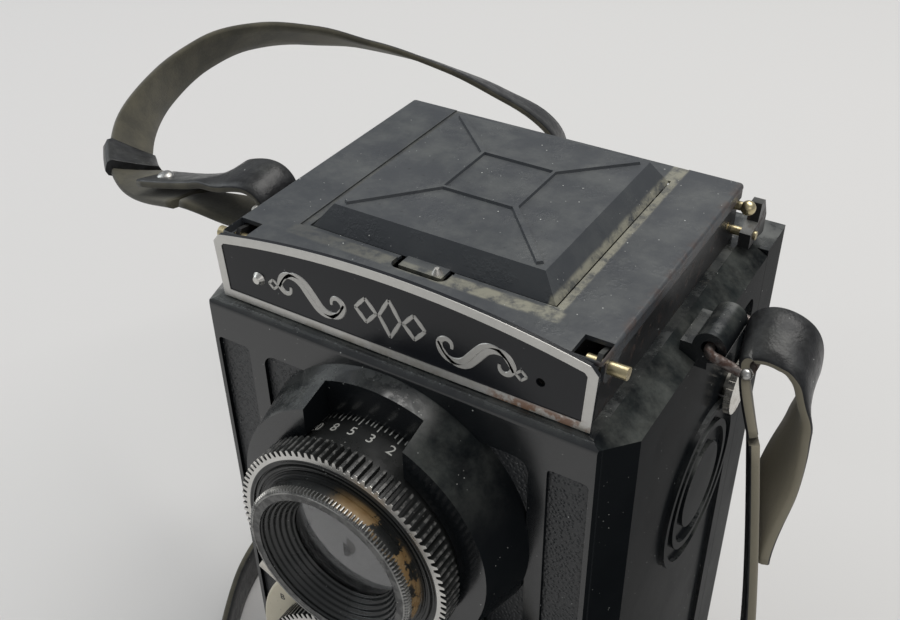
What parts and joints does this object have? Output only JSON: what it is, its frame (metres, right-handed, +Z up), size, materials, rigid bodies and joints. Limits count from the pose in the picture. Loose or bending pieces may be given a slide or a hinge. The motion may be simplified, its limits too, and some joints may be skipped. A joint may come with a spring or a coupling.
{
  "type": "twin-lens reflex camera",
  "caption": "Folding-hood reflex camera with one lens above the other in geared focusing rings, hinged back, winding knob and leather neck strap.",
  "frame": {"origin": "centre of the tripod bush on the base plane", "axes": "+Z up, -Y the way the lenses face, +X to the right for someone facing the lenses"},
  "size_m": [0.1813, 0.2061, 0.1314],
  "materials": {
    "bakelite": "polished black with dust",
    "hood_paint": "semi-matt black paint",
    "hood_inside": "matt black paint",
    "enamel": "gloss enamel with a satin aluminium border",
    "aluminium": "satin, slightly yellowed",
    "bright_steel": "bright",
    "dark_metal": "black lacquer with worn edges",
    "plated": "worn plating",
    "brass": "dull",
    "wire": "rusty",
    "optical_glass": "clear",
    "mirror_glass": "front-silvered",
    "red_glass": "deep red, clear",
    "blackened_spool": "black paint",
    "strap_leather": "black grain side, olive-brown flesh side"
  },
  "bodies": {
    "camera": {"body_shell": "bakelite", "tripod_bush": "bright_steel", "reflex_mirror": "mirror_glass", "mirror_clips": "bright_steel", "field_lens": "optical_glass", "field_lens_bezel": "hood_inside", "hood_frame": "hood_inside", "hood_pins": "brass", "nameplate": "enamel", "nameplate_rivet": "aluminium", "viewing_tube": "dark_metal", "viewing_rear_glass": "optical_glass", "taking_front_tube": "dark_metal", "taking_rear_tube": "dark_metal", "taking_rear_glass": "optical_glass", "lens_nuts": "dark_metal", "shutter_case": "dark_metal", "shutter_face": "aluminium", "sync_socket": "plated", "cable_socket": "plated", "diaphragm_blades": "bright_steel", "spool_pivot": "bright_steel", "door_hinge_pin": "bright_steel", "wire_rings": "wire", "neck_strap": "strap_leather", "strap_loops": "strap_leather"},
    "lid": {"hood_lid": "hood_paint", "magnifier_arm": "hood_inside", "magnifier_lens": "optical_glass"},
    "flap": {"sports_flap": "hood_paint", "flap_catch": "bright_steel"},
    "left_wall": {"left_wall": "hood_inside"},
    "right_wall": {"right_wall": "hood_inside"},
    "rear_wall": {"rear_wall": "hood_inside"},
    "viewing_ring": {"viewing_focus_ring": "dark_metal", "viewing_front_glass": "optical_glass"},
    "taking_ring": {"taking_focus_ring": "dark_metal", "taking_front_glass": "optical_glass"},
    "winder": {"advance_knob": "dark_metal", "winding_shaft": "bright_steel"},
    "take_up_spool": {"take_up_spool": "blackened_spool"},
    "supply_spool": {"supply_spool": "blackened_spool"},
    "upper_roller": {"upper_film_roller": "bright_steel"},
    "lower_roller": {"lower_film_roller": "bright_steel"},
    "upper_spool_knob": {"upper_spool_knob": "plated"},
    "lower_spool_knob": {"lower_spool_knob": "plated"},
    "door": {"back_door": "bakelite", "red_window": "red_glass", "pressure_springs": "bright_steel"},
    "pressure_plate": {"pressure_plate": "dark_metal"},
    "window_cover": {"window_cover": "dark_metal"},
    "door_catch": {"door_catch": "hood_inside"},
    "cocking_lever": {"cocking_lever": "plated"},
    "release_lever": {"release_lever": "plated"},
    "aperture_lever": {"aperture_lever": "plated"},
    "upper_blade": {"shutter_blade_upper": "bright_steel"},
    "lower_blade": {"shutter_blade_lower": "bright_steel"},
    "speed_ring": {"speed_ring": "plated"},
    "self_timer_lever": {"self_timer_lever": "plated"}
  },
  "joints": [
    {"name": "lid_hinge", "type": "hinge", "parent": "camera", "child": "lid", "pos_m": [0, -0.0136, 0.125], "axis": [1, 0, 0], "range_deg": [0, 90]},
    {"name": "left_wall_hinge", "type": "hinge", "parent": "camera", "child": "left_wall", "pos_m": [-0.0302, 0.013, 0.1186], "axis": [0, -1, 0], "range_deg": [0, 90]},
    {"name": "right_wall_hinge", "type": "hinge", "parent": "camera", "child": "right_wall", "pos_m": [0.0302, 0.013, 0.1186], "axis": [0, 1, 0], "range_deg": [0, 90]},
    {"name": "rear_wall_hinge", "type": "hinge", "parent": "camera", "child": "rear_wall", "pos_m": [0, 0.0368, 0.1204], "axis": [-1, 0, 0], "range_deg": [0, 90]},
    {"name": "flap_hinge", "type": "hinge", "parent": "lid", "child": "flap", "pos_m": [0, 0.0333, 0.1254], "axis": [1, 0, 0], "range_deg": [0, 5]},
    {"name": "viewing_focus", "type": "hinge", "parent": "camera", "child": "viewing_ring", "pos_m": [0, -0.032, 0.0889], "axis": [0, -1, 0], "range_deg": [0, 300]},
    {"name": "taking_focus", "type": "hinge", "parent": "camera", "child": "taking_ring", "pos_m": [0, -0.032, 0.0509], "axis": [0, -1, 0], "range_deg": [-300, 0]},
    {"name": "winding", "type": "hinge", "parent": "camera", "child": "winder", "pos_m": [-0.043, 0.033, 0.0909], "axis": [1, 0, 0], "continuous": true},
    {"name": "take_up", "type": "hinge", "parent": "camera", "child": "take_up_spool", "pos_m": [0, 0.033, 0.0909], "axis": [1, 0, 0], "continuous": true},
    {"name": "supply", "type": "hinge", "parent": "camera", "child": "supply_spool", "pos_m": [0, 0.022, 0.0154], "axis": [1, 0, 0], "continuous": true},
    {"name": "upper_roller_spin", "type": "hinge", "parent": "camera", "child": "upper_roller", "pos_m": [0, 0.0464, 0.0842], "axis": [1, 0, 0], "continuous": true},
    {"name": "lower_roller_spin", "type": "hinge", "parent": "camera", "child": "lower_roller", "pos_m": [0, 0.0464, 0.0176], "axis": [1, 0, 0], "continuous": true},
    {"name": "upper_knob_pull", "type": "slide", "parent": "camera", "child": "upper_spool_knob", "axis": [1, 0, 0], "range_m": [0, 0.005], "stiffness_N_per_m": 200},
    {"name": "lower_knob_pull", "type": "slide", "parent": "camera", "child": "lower_spool_knob", "axis": [1, 0, 0], "range_m": [0, 0.005], "stiffness_N_per_m": 200},
    {"name": "door_hinge", "type": "hinge", "parent": "camera", "child": "door", "pos_m": [0, 0.042, 0.0014], "axis": [-1, 0, 0], "range_deg": [0, 95]},
    {"name": "plate_press", "type": "slide", "parent": "door", "child": "pressure_plate", "axis": [0, 1, 0], "range_m": [0, 0.0008], "stiffness_N_per_m": 800, "deforming": ["pressure_springs"]},
    {"name": "cover_slide", "type": "slide", "parent": "door", "child": "window_cover", "axis": [1, 0, 0], "range_m": [0, 0.013]},
    {"name": "catch_pivot", "type": "hinge", "parent": "camera", "child": "door_catch", "pos_m": [0.0352, 0.0396, 0.1183], "axis": [1, 0, 0], "range_deg": [0, 15], "stiffness_Nm_per_rad": 0.01},
    {"name": "cocking", "type": "hinge", "parent": "camera", "child": "cocking_lever", "pos_m": [0, -0.021, 0.0509], "axis": [0, 1, 0], "range_deg": [0, 45]},
    {"name": "release", "type": "hinge", "parent": "camera", "child": "release_lever", "pos_m": [0, -0.022, 0.0509], "axis": [0, 1, 0], "range_deg": [0, 15], "stiffness_Nm_per_rad": 0.02},
    {"name": "aperture", "type": "hinge", "parent": "camera", "child": "aperture_lever", "pos_m": [0, -0.028, 0.0509], "axis": [0, -1, 0], "range_deg": [0, 50]},
    {"name": "upper_blade_pivot", "type": "hinge", "parent": "camera", "child": "upper_blade", "pos_m": [-0.0134, -0.0246, 0.0509], "axis": [0, -1, 0], "range_deg": [0, 40]},
    {"name": "lower_blade_pivot", "type": "hinge", "parent": "camera", "child": "lower_blade", "pos_m": [0.0134, -0.0243, 0.0509], "axis": [0, -1, 0], "range_deg": [0, 40]},
    {"name": "speed_setting", "type": "hinge", "parent": "camera", "child": "speed_ring", "pos_m": [0, -0.03, 0.0509], "axis": [0, -1, 0], "range_deg": [0, 60]},
    {"name": "self_timer", "type": "hinge", "parent": "camera", "child": "self_timer_lever", "pos_m": [0.01819, -0.03, 0.06057], "axis": [0, -1, 0], "range_deg": [0, 60]}
  ],
  "couplings": [
    {"joint": "left_wall_hinge", "follows": "lid_hinge", "ratio": 1},
    {"joint": "right_wall_hinge", "follows": "lid_hinge", "ratio": 1},
    {"joint": "rear_wall_hinge", "follows": "lid_hinge", "ratio": 1},
    {"joint": "taking_focus", "follows": "viewing_focus", "ratio": -1},
    {"joint": "take_up", "follows": "winding", "ratio": 1},
    {"joint": "upper_blade_pivot", "follows": "release", "ratio": 2.6667},
    {"joint": "lower_blade_pivot", "follows": "release", "ratio": 2.6667}
  ]
}
